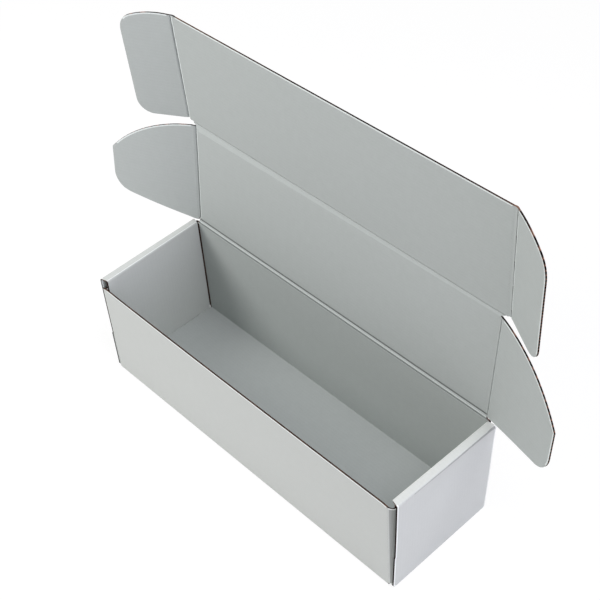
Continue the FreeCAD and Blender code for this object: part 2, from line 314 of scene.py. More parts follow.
def cut_sheet(outline, u_cuts, v_cuts, holes):
    """A flat outline with a rim, divided along lines: points, faces, rim faces, open edges."""
    work = bmesh.new()
    work.faces.new([work.verts.new((u, v, 0)) for u, v in outline])
    work.normal_update()
    rim = bmesh.ops.inset_region(work, faces=work.faces[:], thickness=RIM,
                                 use_even_offset=True, use_boundary=True)
    for face in rim["faces"]:
        face.material_index = 1
    for left, low, right, high in holes:
        u_cuts, v_cuts = [*u_cuts, left, right], [*v_cuts, low, high]
    for axis, cuts in enumerate((u_cuts, v_cuts)):
        for cut in sorted(set(cuts)):
            place = Vector((cut, 0, 0) if axis == 0 else (0, cut, 0))
            normal = Vector((1, 0, 0) if axis == 0 else (0, 1, 0))
            bmesh.ops.bisect_plane(work, geom=[*work.verts, *work.edges, *work.faces],
                                   dist=1e-7, plane_co=place, plane_no=normal)
    inside_hole = []
    for face in work.faces:
        u, v = face.calc_center_median().xy
        if any(left < u < right and low < v < high for left, low, right, high in holes):
            inside_hole.append(face)
    bmesh.ops.delete(work, geom=inside_hole, context="FACES")
    work.verts.index_update()
    flat = np.array([vert.co.xy for vert in work.verts])
    faces = [[vert.index for vert in face.verts] for face in work.faces]
    in_rim = [face.material_index == 1 for face in work.faces]
    open_edges = []
    for face in work.faces:
        for loop in face.loops:
            if len(loop.edge.link_faces) == 1:
                open_edges.append((loop.vert.index, loop.link_loop_next.vert.index))
    work.free()
    return flat, faces, in_rim, open_edges


def row_ends(outline, v):
    """Where a line of constant v enters and leaves the outline."""
    crossings = []
    for (u0, v0), (u1, v1) in pairs(outline):
        if (v0 <= v) != (v1 <= v):
            crossings.append(mix(u0, u1, (v - v0) / (v1 - v0)))
    return min(crossings, default=0.0), max(crossings, default=0.0)


def near_any(values, lines):
    """Whether each value lies on one of the lines."""
    close = np.zeros(np.shape(values), dtype=bool)
    for line in lines:
        close |= np.abs(values - line) < SAME_LINE
    return close


@dataclass
class Board:
    """A stretch of corrugated board laid from flat outlines into space.

    place(u, v, w) gives the points in space: u along the flutes, v across them, and w
    through the board, positive to the printed side. joined_u and joined_v are the lines on
    which the board runs on into its neighbour, so that no rim is pressed there. The rims
    of the die-cut edges get a painted highlight, but not beyond rim_until, nor along the
    lower edge of a board that stands crosswise, which faces away from the light. The first
    list of zones along u gets a painted highlight too; in the second, inside faces show
    kraft as painted shade. The function of u and v gives the printed side's finish where it
    isn't the plain one: painted light or painted shade.
    """

    outline: list
    place: object
    u_cuts: tuple = ()
    v_cuts: tuple = ()
    joined_u: tuple = ()
    joined_v: tuple = ()
    holes: tuple = ()
    origin: tuple = (0, 0)
    painted_highlight_u: tuple = ()
    painted_shade_u: tuple = ()
    rim_until: float = 1.0
    crosswise: bool = False
    painted_light_and_shade: object = None

    def __post_init__(self):
        us, vs = zip(*self.outline)
        painted_shade_ends = [end for zone in self.painted_shade_u for end in zone]
        self.u_cuts = sorted([*self.u_cuts, *spread(min(us), max(us), GRID), *painted_shade_ends])
        self.v_cuts = sorted([*self.v_cuts, *spread(min(vs), max(vs), GRID)])
        # A crosswise board's cut edges show open flute ends, painted dark as the shade of the
        # flute holes
        self.raw = FLUTE_ENDS if self.crosswise else KRAFT

    def layer(self, piece, flat, faces, open_edges, low, high, under, over, pale=None):
        """A closed layer of the board between two heights.

        Pale faces take the rim finish, a painted highlight, and inside faces in the zones of
        painted shade show kraft.
        """
        u, v = flat[:, 0], flat[:, 1]
        points = np.concatenate([self.place(u, v, low), self.place(u, v, high)])
        finishes = []
        for finish in (under, over):
            finishes += [RIM_HIGHLIGHT_OF[finish] if painted_highlight else finish
                         for painted_highlight in pale or [False] * len(faces)]
        for i, face in enumerate(faces):
            middle_u, middle_v = flat[face].mean(axis=0)
            # Inside faces in these zones show dark kraft: painted shade for the dark slits at
            # the corner folds
            in_painted_shade = any(begin < middle_u < end for begin, end in self.painted_shade_u)
            if in_painted_shade and finishes[i] in (INSIDE, INSIDE_RIM_HIGHLIGHT):
                finishes[i] = KRAFT
            if self.painted_light_and_shade and finishes[len(faces) + i] == OUTSIDE:
                finishes[len(faces) + i] = self.painted_light_and_shade(middle_u, middle_v)
        finishes += [self.raw] * len(open_edges)
        piece.add(points, closed(faces, open_edges, len(flat)), finishes,
                  np.tile(flat + self.origin, (2, 1)))

    def add_liners(self, piece):
        """The two outer papers."""
        flat, faces, in_rim, open_edges = cut_sheet(self.outline, self.u_cuts, self.v_cuts,
                                                    self.holes)
        middles = np.array([flat[face].mean(axis=0) for face in faces])
        beside_join = middles[:, 0] > self.rim_until
        for axis, lines in enumerate((self.joined_u, self.joined_v)):
            for line in lines:
                beside_join |= np.abs(middles[:, axis] - line) < RIM
        # A crosswise board's lower edge faces away from the light, so its rim gets no painted
        # highlight
        if self.crosswise:
            for i, (u, v) in enumerate(middles):
                left, right = row_ends(self.outline, v - LOWER_RIM)
                beside_join[i] |= not left < u < right
        # Zones given a painted highlight
        folded = np.zeros(len(faces), dtype=bool)
        for begin, end in self.painted_highlight_u:
            folded |= (middles[:, 0] > begin) & (middles[:, 0] < end)
        pale = ((np.array(in_rim) & ~beside_join) | folded).tolist()
        pressed = np.zeros(len(flat), dtype=bool)
        pressed[[i for edge in open_edges for i in edge]] = True
        pressed &= ~near_any(flat[:, 0], self.joined_u) & ~near_any(flat[:, 1], self.joined_v)
        share = 1 - RIM_PRESS * pressed
        self.layer(piece, flat, faces, open_edges,
                   (MIDDLE - LINER) * share, MIDDLE * share, KRAFT, OUTSIDE, pale)
        self.layer(piece, flat, faces, open_edges,
                   -MIDDLE * share, -(MIDDLE - LINER) * share, INSIDE, KRAFT, pale)

    def add_medium(self, piece):
        """The wavy middle paper, cut to the outline row by row."""
        low = min(v for u, v in self.outline) + SAME_LINE / 2
        high = max(v for u, v in self.outline) - SAME_LINE / 2
        rows = np.linspace(low, high, max(2, int((high - low) / FLUTE_PITCH * ROWS_PER_FLUTE)))
        inner = np.array(sorted({round(cut, 7) for cut in self.u_cuts}))
        grid = []
        for v in rows:
            left, right = row_ends(self.outline, v)
            rim = min(RIM, (right - left) / 2)
            grid.append([left, left + rim, *np.clip(inner, left + rim, right - rim),
                         right - rim, right])
        u = np.array(grid)
        v = np.repeat(rows[:, None], u.shape[1], axis=1)
        squeezed = np.zeros(u.shape)
        for end in (0, -1):
            squeezed[:, end] = ~near_any(u[:, end], self.joined_u)
        for end in (low, high):
            if not near_any(end, self.joined_v):
                squeezed = np.maximum(squeezed, np.clip(1 - np.abs(v - end) / RIM, 0, 1))
        wave = WAVE_HEIGHT * (1 - RIM_PRESS * squeezed)
        wave = wave * np.sin(2 * math.pi * (v + self.origin[1]) / FLUTE_PITCH)
        flat = np.stack([u.ravel(), v.ravel()], axis=1)
        height = wave.ravel()
        faces = [[a, b, c, d] for a, b, c, d in grid_faces(*u.shape)
                 if max(flat[b, 0] - flat[a, 0], flat[c, 0] - flat[d, 0]) > NO_WIDTH]
        sides = dict.fromkeys(side for face in faces for side in pairs(face))
        open_edges = [(a, b) for a, b in sides if (b, a) not in sides]
        self.layer(piece, flat, faces, open_edges,
                   height - MEDIUM / 2, height + MEDIUM / 2, self.raw, self.raw)


class FoldedLine:
    """Middle line of a folded strip seen edge on: straight runs with rounded corners."""

    def __init__(self, corners, radius=FOLD_RADIUS):
        corners = [np.array(corner, dtype=float) for corner in corners]
        self.radius = radius
        self.parts = []
        self.folds = []
        at, here = 0.0, corners[0]
        for before, corner, following in zip(corners, corners[1:], corners[2:]):
            ahead, after = unit(corner - before), unit(following - corner)
            turn = math.atan2(ahead[0] * after[1] - ahead[1] * after[0], ahead @ after)
            cut_short = radius * math.tan(abs(turn) / 2)
            stop = corner - ahead * cut_short
            self.parts.append((at, here, ahead, 0.0))
            at += np.linalg.norm(stop - here)
            self.parts.append((at, stop, ahead, turn))
            self.folds.append((at, at + radius * abs(turn)))
            at, here = self.folds[-1][1], corner + after * cut_short
        self.parts.append((at, here, unit(corners[-1] - corners[-2]), 0.0))
        self.length = at + np.linalg.norm(corners[-1] - here)

    def at(self, s):
        """Points on the line and the unit normals to its right."""
        s = np.asarray(s, dtype=float)
        points = np.zeros((len(s), 2))
        normals = np.zeros((len(s), 2))
        for begin, start, ahead, turn in self.parts:
            within = s >= begin if begin else np.ones(len(s), dtype=bool)
            t = s[within] - begin
            right = np.array([ahead[1], -ahead[0]])
            if turn:
                angle = t / self.radius
                side = 1.0 if turn < 0 else -1.0
                along = np.sin(angle)[:, None] * ahead
                inward = (1 - np.cos(angle))[:, None] * right * side
                points[within] = start + self.radius * (along + inward)
                normals[within] = (np.cos(angle)[:, None] * right
                                   - side * np.sin(angle)[:, None] * ahead)
            else:
                points[within] = start + t[:, None] * ahead
                normals[within] = right
        return points, normals

    def cuts(self):
        """Lines on which the board is divided so that its folds are round."""
        found = []
        for begin, end in self.folds:
            found += list(np.linspace(begin, end, LINES_PER_FOLD))
            found += [begin - FOLD_MARGIN, end + FOLD_MARGIN]
        return found

    def press(self, s):
        """How much of its thickness the board keeps at each place."""
        kept = np.ones(len(s))
        for begin, end in self.folds:
            middle, half = (begin + end) / 2, (end - begin) / 2 + FOLD_MARGIN
            kept -= FOLD_PRESS * np.clip(1 - np.abs(s - middle) / half, 0, 1)
        return kept


def swell(t):
    """Nothing at both ends, one in the middle."""
    return np.sin(math.pi * np.clip(t, 0, 1))


def rise(t):
    """Nothing at the start, one at the end."""
    return np.sin(math.pi / 2 * np.clip(t, 0, 1))


def ease(t):
    """From nothing to one, smooth at both ends."""
    t = np.clip(t, 0, 1)
    return t * t * (3 - 2 * t)


def hump(d, middle, width):
    """One in the middle, fading to both sides."""
    return np.exp(-((d - middle) / width) ** 2)


# ---------------------------------------------------------------- the tray

HALF_LENGTH = 177.0 * MM
HALF_WIDTH = 56.4 * MM
ROLL_HEIGHT = 110.8 * MM
FRONT_HEIGHT = 103.5 * MM
REAR_HEIGHT = 107.8 * MM
REAR_CORNER = 110.1 * MM
END_LEAN = 2.5 * MM
HINGE_HEIGHT = 111.4 * MM
WALL_MIDDLE = HALF_WIDTH - MIDDLE
INNER_FACE = 172.2 * MM
INNER_BOTTOM = 1.65 * MM
FLAP_FACE = 175.35 * MM
SEAM = 171.0 * MM
HINGE_HALF = 171.8 * MM
END_HALF = 54.2 * MM

# Locking tabs at the inner panels' lower edge, and their slots in the floor
TAB_CENTRES = (-27 * MM, 27 * MM)
TAB_HALF = 11 * MM
TAB_LENGTH = 1.45 * MM
SLOT_GAP = 0.25 * MM

# Where a rolled end's panels end, front and rear
OUTER_FRONT, OUTER_REAR = -55.8 * MM, 55.2 * MM
BAND_FRONT, INNER_REAR = -53.3 * MM, 53.8 * MM
INNER_FRONT = {-1: -53.3 * MM, 1: -50.4 * MM}

# Corner flaps: where the folded part starts and ends, and their lower and upper edges
CORNER_FLAP_START = 6.4 * MM
CORNER_FLAP_END = 53.4 * MM
CORNER_FLAP_BOTTOM = BOARD + 1.2 * MM
CORNER_FLAP_DROP = 9 * MM
FRONT_CORNER_DROP = 0.8 * MM

# How far each rolled end stands out at its top, front and rear: outer panel, inner panel
SPLAY = {-1: ((0.4 * MM, 2.0 * MM), (-0.4 * MM, 2.3 * MM)),
         1: ((0.8 * MM, 2.8 * MM), (0.1 * MM, 1.6 * MM))}
FRONT_SHIFT = {-1: -3.4 * MM, 1: -1.7 * MM}
FRONT_SHIFT_FADE = 3.4 * MM
FRONT_SAG = {-1: 1.8 * MM, 1: 1.1 * MM}
FRONT_SAG_BETWEEN = 1.6 * MM

# How far the walls and the end panels bend out of their planes
FRONT_BOW, BACK_BOW = -0.1 * MM, 0.35 * MM
OUTER_BOW, INNER_BOW = 0.45 * MM, 0.5 * MM

# The right end panel is dented, and pinched under its band at the rear; the last value is how
# far below the fold painted shade reaches at the rear
DENT_DEPTH, DENT_TOP, DENT_FADE = 2.6 * MM, 16 * MM, 45 * MM
PINCH_DEPTH, PINCH_TOP, PINCH_FADE = 1.6 * MM, 2.6 * MM, 14 * MM
PAINTED_SHADE_WEDGE = 1.1 * MM

# How round each upright corner is folded, by end and by wall
CORNER_RADIUS = {(-1, False): 0.9 * MM, (1, False): 3.0 * MM,
                 (-1, True): 1.6 * MM, (1, True): 1.6 * MM}


def to_rear(y):
    """Share of the way from a rolled end's front to its rear."""
    return (y + END_HALF) / (2 * END_HALF)


def splay(side, inner, y, z):
    """How far out a rolled end's panel stands from its true place."""
    return mix(*SPLAY[side][inner], to_rear(y)) * z / ROLL_HEIGHT


def wall_end(side, rear):
    """Where a wall ends and its corner fold begins."""
    return side * (FLAP_FACE - CORNER_RADIUS[side, rear] - MIDDLE)


def front_sag(along):
    """How far the front wall's top edge has sunk, most of all left of its middle."""
    return mix(FRONT_SAG[-1], FRONT_SAG[1], along) + FRONT_SAG_BETWEEN * swell(along ** 0.7)


def pressed_in(below, across):
    """How deep the right end panel is dented and pinched, below its band and along it."""
    dent = ease(below / DENT_TOP) * (1 - ease((below - DENT_TOP) / DENT_FADE))
    pinch = ease(below / (2 * MM)) * (1 - ease((below - PINCH_TOP) / PINCH_FADE))
    pinch = pinch * ease((across - 0.5) / 0.42) * ease((1 - across) / 0.06)
    return DENT_DEPTH * dent * hump(across, 0.60, 0.28) + PINCH_DEPTH * pinch


def walls_strip():
    """Front wall, floor and back wall up to the lid crease, as one folded strip."""
    top = HINGE_HEIGHT - CREASE_HALF
    line = FoldedLine([(-WALL_MIDDLE, FRONT_HEIGHT), (-WALL_MIDDLE, MIDDLE),
                       (WALL_MIDDLE, MIDDLE), (WALL_MIDDLE, top)])
    (front_fold, floor_start), (floor_end, rear_fold) = line.folds
    outline = []
    for side in (1, -1):
        front_end, rear_end = wall_end(side, False), wall_end(side, True)
        edge = [(front_end - side * 5 * MM, 0), (front_end, FRONT_CORNER_DROP),
                (front_end, floor_start), (side * SEAM, floor_start), (side * SEAM, floor_end),
                (rear_end, floor_end), (rear_end, line.length)]
        outline += edge[::side]

    def place(u, v, w):
        points, normals = line.at(v)
        along = (u + HALF_LENGTH) / (2 * HALF_LENGTH)
        front = swell(along) * rise(1 - v / front_fold) * (v < front_fold)
        back = swell(along) * swell((v - rear_fold) / (line.length - rear_fold))
        bow = FRONT_BOW * front + BACK_BOW * back * (v > rear_fold)
        points = points + normals * (w * line.press(v) + bow)[:, None]
        y, z = points[:, 0], points[:, 1]
        out = np.where(u > 0, splay(1, 1, y, z), splay(-1, 1, y, z))
        spread_out = (v > rear_fold) * out * u / HINGE_HALF
        shift = mix(FRONT_SHIFT[-1], FRONT_SHIFT[1], (1 + u / HINGE_HALF) / 2)
        shifted = (v < front_fold) * shift * z / ROLL_HEIGHT
        sunk = front_sag(np.clip(along, 0, 1)) * np.clip(1 - v / front_fold, 0, 1)
        return np.stack([u + spread_out + shifted, y, z - sunk], axis=1)

    joins = [SEAM, -SEAM] + [wall_end(*corner) for corner in CORNER_RADIUS]
    # The walls' inside faces beyond the seams show kraft as painted shade, for the dark slit at
    # the rear corner
    painted_shade_from = SEAM + 0.1 * MM
    return Board(outline, place, v_cuts=line.cuts(), joined_u=joins, joined_v=(line.length,),
                 painted_shade_u=[(-1, -painted_shade_from), (painted_shade_from, 1)])


def end_roll(side):
    """Floor end, outer panel, top band and inner panel with its tabs, folded over in one."""
    lean = END_LEAN / ROLL_HEIGHT
    slant = math.hypot(1, lean)

    def outer_middle(z):
        return HALF_LENGTH + lean * z - MIDDLE * slant

    band = ROLL_HEIGHT - MIDDLE
    inner_middle = INNER_FACE + MIDDLE
    line = FoldedLine([(SEAM, MIDDLE), (outer_middle(MIDDLE), MIDDLE),
                       (outer_middle(band), band), (inner_middle, band),
                       (inner_middle, INNER_BOTTOM)])
    (_, panel_start), (panel_end, band_start), (band_end, inner_start) = line.folds
    slot_left = INNER_FACE - SLOT_GAP - SEAM
    slot_right = INNER_FACE + BOARD + SLOT_GAP - SEAM
    tabs = [(centre - TAB_HALF, centre + TAB_HALF) for centre in TAB_CENTRES]
    tab_end = line.length + TAB_LENGTH
    run = 1.5 * MM
    step, step_start = 0.35 * MM, panel_start + 41 * MM
    outline = [(0, -END_HALF), (panel_start, -END_HALF),
               (panel_start + run, OUTER_FRONT - step), (step_start, OUTER_FRONT - step),
               (step_start + run, OUTER_FRONT + step),
               (panel_end, OUTER_FRONT), (inner_start, BAND_FRONT),
               (inner_start + run, INNER_FRONT[side]), (line.length, INNER_FRONT[side])]
    for low, high in tabs:
        outline += [(line.length, low), (tab_end, low), (tab_end, high), (line.length, high)]
    outline += [(line.length, INNER_REAR), (band_end, INNER_REAR), (panel_end, OUTER_REAR),
                (panel_start + run, OUTER_REAR), (panel_start, END_HALF), (0, END_HALF)]
    holes = [(slot_left, low - SLOT_GAP, slot_right, high + SLOT_GAP) for low, high in tabs]

    def place(u, v, w):
        points, normals = line.at(u)
        across = to_rear(v)
        outer = (u - panel_start) / (panel_end - panel_start)
        bulge = swell(outer) * swell(0.15 + 0.7 * across + 0.15 * (outer - 0.5))
        inner = (u - inner_start) / (line.length - inner_start)
        hollow = swell(inner) * (u > inner_start)
        bow = OUTER_BOW * bulge * (outer > 0) * (outer < 1) + INNER_BOW * hollow * swell(across)
        if side > 0:
            bow = bow - pressed_in(np.maximum(panel_end - u, 0), across)
        points = points + normals * (w * line.press(u) + bow)[:, None]
        x, z = points[:, 0], points[:, 1]
        share = np.clip((u - band_start) / (band_end - band_start), 0, 1)
        out = mix(splay(side, 0, v, z), splay(side, 1, v, z), share)
        return np.stack([side * (x + out), v, z], axis=1)

    def painted_light_and_shade(u, v):
        """Painted shade in the fold under the band, wider to the rear, and painted light on the
        band.
        """
        wedge = to_rear(v)
        if -PAINTED_SHADE_WEDGE * wedge < u - panel_end < 0.75 * wedge * (band_start - panel_end):
            return FOLD_PAINTED_SHADE
        return OUTSIDE_PAINTED_LIGHT if (panel_end + band_start) / 2 < u < band_end else OUTSIDE

    # More lines where the panel is pinched and where the painted shade lies
    cuts = [*line.cuts(), *np.linspace(panel_end - PAINTED_SHADE_WEDGE, band_start, 16)]
    cuts += [panel_end - below * MM for below in (1.4, 1.8, 2.4, 3.5, 5, 7, 9)]
    # A painted highlight line lies just past the fold from the band to the inner panel
    return Board(outline, place, u_cuts=cuts, joined_u=(0,), holes=holes, origin=(0.3, 0.1),
                 rim_until=band_start, painted_light_and_shade=painted_light_and_shade if side > 0 else None,
                 painted_highlight_u=[(band_end + 0.3 * MM, band_end + 0.7 * MM)])


def corner_flap(side, rear):
    """The end of a wall folded square into the flap that the rolled end traps."""
    flap_middle = FLAP_FACE - MIDDLE
    line = FoldedLine([(abs(wall_end(side, rear)), -WALL_MIDDLE), (flap_middle, -WALL_MIDDLE),
                       (flap_middle, -CORNER_FLAP_START)], CORNER_RADIUS[side, rear])
    fold_end = line.folds[0][1]
    slope_start = line.length - (CORNER_FLAP_END - CORNER_FLAP_START)
    if rear:
        top = REAR_HEIGHT
        upper = [(slope_start, top), (slope_start - 0.5 * MM, top), (fold_end, REAR_CORNER),
                 (0, REAR_CORNER)]
    else:
        top = FRONT_HEIGHT
        upper = [(slope_start + 3 * MM, top - FRONT_CORNER_DROP), (0, top - FRONT_CORNER_DROP)]
    outline = [(0, CORNER_FLAP_BOTTOM), (line.length, CORNER_FLAP_BOTTOM),
               (line.length, top - CORNER_FLAP_DROP), *upper]

    def place(u, v, w):
        points, normals = line.at(u)
        points = points + normals * (w * line.press(u))[:, None]
        x, y = points[:, 0], points[:, 1]
        if rear:
            y = -y
            out, sunk = splay(side, 1, y, v), 0
        else:
            shifted = side * FRONT_SHIFT[side] * v / ROLL_HEIGHT
            out = mix(shifted, splay(side, 1, y, v), ease((y + HALF_WIDTH) / FRONT_SHIFT_FADE))
            sunk = FRONT_SAG[side] * v / FRONT_HEIGHT
        return np.stack([side * (x + out), y, v - sunk], axis=1)

    def painted_light_and_shade(u, v):
        """Painted shade around the fold."""
        return FOLD_PAINTED_SHADE if u > 0.3 * fold_end else OUTSIDE

    # Inside faces around the fold show kraft as painted shade
    return Board(outline, place, u_cuts=line.cuts(), joined_u=(0,), origin=(0.5, 0.2),
                 painted_shade_u=[(-1, fold_end + 0.6 * MM)],
                 painted_light_and_shade=painted_light_and_shade if side > 0 and not rear else None)


# ---------------------------------------------------------------- hinged panels

JOINTS = {joint["child"]: joint for joint in frame["joints"]}


def extent_at(outline, axis, limit):
    """How far an outline reaches along a line on which one of its sides lies."""
    other = [point[1 - axis] for point in outline if abs(point[axis] - limit) < SAME_LINE]
    return min(other), max(other)


class Panel:
    """A hinged panel: its hinge, its directions and its outline, taken from the frame."""

    def __init__(self, node, body, crosswise):
        joint = JOINTS[body]
        self.node, self.body, self.parent = node, body, joint["parent"]
        self.hinge = np.array(joint["pos_m"])
        self.axis = unit(joint["axis"])
        corners = np.array([vert.co for vert in frame["nodes"][node].data.vertices])
        arm = corners - self.hinge
        swing = arm - np.outer(arm @ self.axis, self.axis)
        far = np.linalg.norm(swing, axis=1)
        self.reach = unit(swing[far > far.max() - 1 * MM].mean(axis=0))
        self.printed = np.cross(self.reach, self.axis)
        if crosswise:
            up = self.axis * math.copysign(1, self.axis[2])
            self.along, self.across = self.reach, up
        else:
            self.along, self.across = self.axis, self.reach
        flat = [Vector(pair) for pair in zip(arm @ self.along, arm @ self.across)]
        self.outline = [tuple(flat[i]) for i in convex_hull_2d(flat)]
        self.crosswise = crosswise
        self.rim_until = 1.0

    def trim(self, axis, limit, keep):
        """Cut the outline along a line; keep is 1 for the part above it, -1 for below."""
        kept = []
        for here, after in pairs(self.outline):
            a, b = (here[axis] - limit) * keep, (after[axis] - limit) * keep
            if a >= 0:
                kept.append(here)
            if a * b < 0:
                kept.append(tuple(mix(h, n, a / (a - b)) for h, n in zip(here, after)))
        self.outline = kept

    def board(self, bow, joined_u, joined_v, origin):
        def place(u, v, w):
            return (self.hinge + np.outer(u, self.along) + np.outer(v, self.across)
                    + np.outer(w + bow(u, v), self.printed))

        return Board(self.outline, place, joined_u=joined_u, joined_v=joined_v, origin=origin,
                     rim_until=self.rim_until, crosswise=self.crosswise)


def turn_about(axis, vectors, angles):
    """Vectors turned about an axis, each by its own angle."""
    cosine, sine = np.cos(angles)[:, None], np.sin(angles)[:, None]
    along = np.outer(vectors @ axis, axis)
    return vectors * cosine + np.cross(axis, vectors) * sine + along * (1 - cosine)


def ripple(t, seed):
    """Slow unevenness along a crease, about zero."""
    return (np.sin(t * 61 + seed) + np.sin(t * 143 + 2.3 * seed)
            + 0.7 * np.sin(t * 347 + 4.1 * seed)) / 2.7


@dataclass
class Crease:
    """The pressed fold line between a panel and its parent, as a strip that bends.

    ends gives, at distances d from the hinge, where the strip begins and stops along it.
    relief gives the height of the inner face over d, and bead that of the printed face at
    the hinge, in millimetres. bands are the inner face's finishes, which paint light and shade
    along the crease: from which d at the strip's start and at its stop, up to which d, also in
    millimetres. slant is how much further out relief and bands lie at the stop. Where the
    strip's own ends are free, they show the cut edge.
    """

    panel: Panel
    outward: object
    ends: list
    relief: list
    bands: list
    bead: float = 0.15
    free: bool = True
    slant: float = 0.0

    STEP = 0.25 * MM
    PITCH = 2.5 * MM
    UNEVEN = 0.18
    # Keeps the printed face inside the plain node's
    INSET = 0.01 * MM

    def finish_at(self, d, share):
        d = d / MM - self.slant * share
        for low_left, low_right, high, finish in self.bands:
            if mix(low_left, low_right, share) < d < high:
                return finish
        return INSIDE

    def build(self, name):
        panel = self.panel
        axis, outward = panel.axis, self.outward
        line = panel.across if panel.crosswise else panel.along
        rest = math.atan2(np.cross(outward, panel.reach) @ axis, outward @ panel.reach)
        printed = np.cross(outward, axis)
        places, lows, highs = np.transpose(self.ends)
        heights = np.array(self.relief) * MM
        begin, stop = places[0], places[-1]
        steps = round((stop - begin) / self.STEP)
        offsets = np.linspace(begin, stop, steps + 1)
        low, high = np.interp(offsets, places, lows), np.interp(offsets, places, highs)
        columns = max(2, round((high[0] - low[0]) / self.PITCH))
        across = np.linspace(0, 1, columns + 1)
        t = mix(low[:, None], high[:, None], across)
        d = np.repeat(offsets[:, None], columns + 1, axis=1)
        t, d = t.ravel(), d.ravel()
        blend = ease((d + CREASE_HALF) / (2 * CREASE_HALF))
        from_low, from_high = t - low.max(), high.min() - t
        fade = ease((from_low + 2 * MM) / (3 * MM)) * ease((from_high + 2 * MM) / (3 * MM))
        uneven = 1 + self.UNEVEN * ripple(t, len(name)) * swell((d - begin) / (stop - begin))
        slanted = d - self.slant * MM * np.tile(across, steps + 1)
        depth = np.interp(slanted, heights[:, 0], heights[:, 1]) * uneven
        if panel.crosswise:
            depth = depth * fade
        inside_ends = ease(from_low / (9 * MM)) * ease(from_high / (9 * MM))
        bead = self.bead * MM * hump(d, -0.1 * MM, 0.9 * MM) * inside_ends

        def surface(w):
            arm = np.outer(d, outward) + np.outer(w, printed)
            return panel.hinge + np.outer(t, line) + turn_about(axis, arm, rest * blend)

        points = np.concatenate([surface(-MIDDLE - depth),
                                 surface(MIDDLE - self.INSET + bead)])
        width = columns + 1
        grid = grid_faces(steps + 1, width)
        ring = list(range(width))
        ring += [i * width + columns for i in range(1, steps + 1)]
        ring += [steps * width + j for j in range(columns - 1, -1, -1)]
        ring += [i * width for i in range(steps - 1, 0, -1)]
        middles = (offsets[1:] + offsets[:-1]) / 2
        finishes = [self.finish_at(middle, (j + 0.5) / columns)
                    for middle in middles for j in range(columns)]
        finishes += [OUTSIDE] * len(grid)
        cut = [KRAFT if self.free or middle > 0 else INSIDE for middle in middles]
        finishes += [INSIDE] * columns + cut + [INSIDE] * columns + cut[::-1]
        sheet = np.stack([d, t] if panel.crosswise else [t, d], axis=1)
        piece = Piece(name)
        piece.add(points, closed(grid, pairs(ring), len(t)), finishes,
                  np.tile(sheet + (0.7, 0.3), (2, 1)))
        made = piece.build()
        start = panel.hinge - CREASE_HALF * outward
        end = panel.hinge + CREASE_HALF * turn_about(axis, outward[None, :], np.array([rest]))[0]
        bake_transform(made)


def show(boards, body, node):
    """Put a body's boards, as one piece, in place of its plain node."""
    piece = Piece(f"{body}_board")
    for board in boards:
        board.add_liners(piece)
        board.add_medium(piece)
    made = piece.build()
    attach(made, body)
    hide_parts(node)


# In the order of the finishes' numbers
FINISHES = [
    paper("white liner, printed side", PRINTED, 0.630, 0.596, 0.60, 0.765),
    paper("white liner, inside", PLAIN, 0.512, 0.466, 0.72, 0.76),
    # Kraft, darker between the flutes: painted shade
    kraft("kraft medium and cut edges", 0.24,
          [(0.30, (0.012, 0.005, 0.005, 1)), (0.50, (0.045, 0.019, 0.016, 1)),
           (0.74, (0.20, 0.11, 0.075, 1)), (0.86, (0.42, 0.33, 0.27, 1))]),
    # Lighter rims at die-cut edges: painted highlights
    paper("printed liner with a painted highlight at an edge", PRINTED, 0.94, 0.87, 0.50, 0.80),
    paper("inside liner with a painted highlight at an edge", PLAIN, 0.84, 0.78, 0.58, 0.80),
    # Crease bands: painted highlight, painted light, painted half shade and painted shade
    paper("inside liner with a painted highlight at a crease", PLAIN, 0.84, 0.74, 0.62, 0.79),
    paper("inside liner with painted light beside a crease", PLAIN, 0.580, 0.530, 0.68, 0.79),
    paper("inside liner with painted half shade beside a crease", PLAIN, 0.47, 0.43, 0.74, 0.78),
    paper("inside liner with painted shade in a crease", PLAIN, 0.23, 0.19, 0.80, 0.79),
    # Open flute ends, near black: kraft with painted shade of the flute holes
    kraft("kraft at open flute ends", 0.50,
          [(0.34, (0.004, 0.001, 0.002, 1)), (0.60, (0.012, 0.004, 0.005, 1)),
           (0.82, (0.22, 0.085, 0.060, 1)), (1.00, (0.38, 0.22, 0.16, 1))]),
    # Painted shade at folds
    paper("printed liner with painted shade at a fold", PRINTED, 0.40, 0.36, 0.70, 0.80),
    # Painted light on upper faces
    paper("printed liner with painted light on an upper face", PRINTED, 0.69, 0.65, 0.58, 0.78),
]

tray_boards = [walls_strip()]
tray_boards += [end_roll(side) for side in (-1, 1)]
tray_boards += [corner_flap(side, rear) for side in (-1, 1) for rear in (False, True)]
show(tray_boards, "tray", "tray")

lid = Panel("lid_panel", "lid", crosswise=False)
tuck = Panel("tuck_flap", "tuck", crosswise=False)
SIDES = (("left", -1), ("right", 1))
flaps = {side: Panel(f"lid_side_flap_{side}", f"side_flap_{side}", crosswise=True)
         for side, sign in SIDES}
ears = {side: Panel(f"tuck_ear_{side}", f"ear_{side}", crosswise=True)
        for side, sign in SIDES}

lid_depth = np.linalg.norm(tuck.hinge - lid.hinge)
lid_half = abs(flaps["right"].hinge[0])
tuck_half = abs(ears["right"].hinge[0])
lid_inner, tuck_inner = lid_half - CREASE_HALF, tuck_half - CREASE_HALF

# How far each crease's strip reaches before and after its hinge
LID_CREASE = (-3.0 * MM, 6.0 * MM)
TUCK_CREASE = (-8.0 * MM, 6.0 * MM)
SIDE_CREASE = 4.5 * MM

# Where the strips step from one panel's length to the other's
LID_STEP = (-1.3 * MM, -1.1 * MM)
TUCK_STEP = 3.1 * MM
FLAP_STEP = 1.0 * MM
STEP_WIDTH = 0.05 * MM

# How far above its crease the tuck flap's slanted lower corners end
SHOULDER = 4.7 * MM

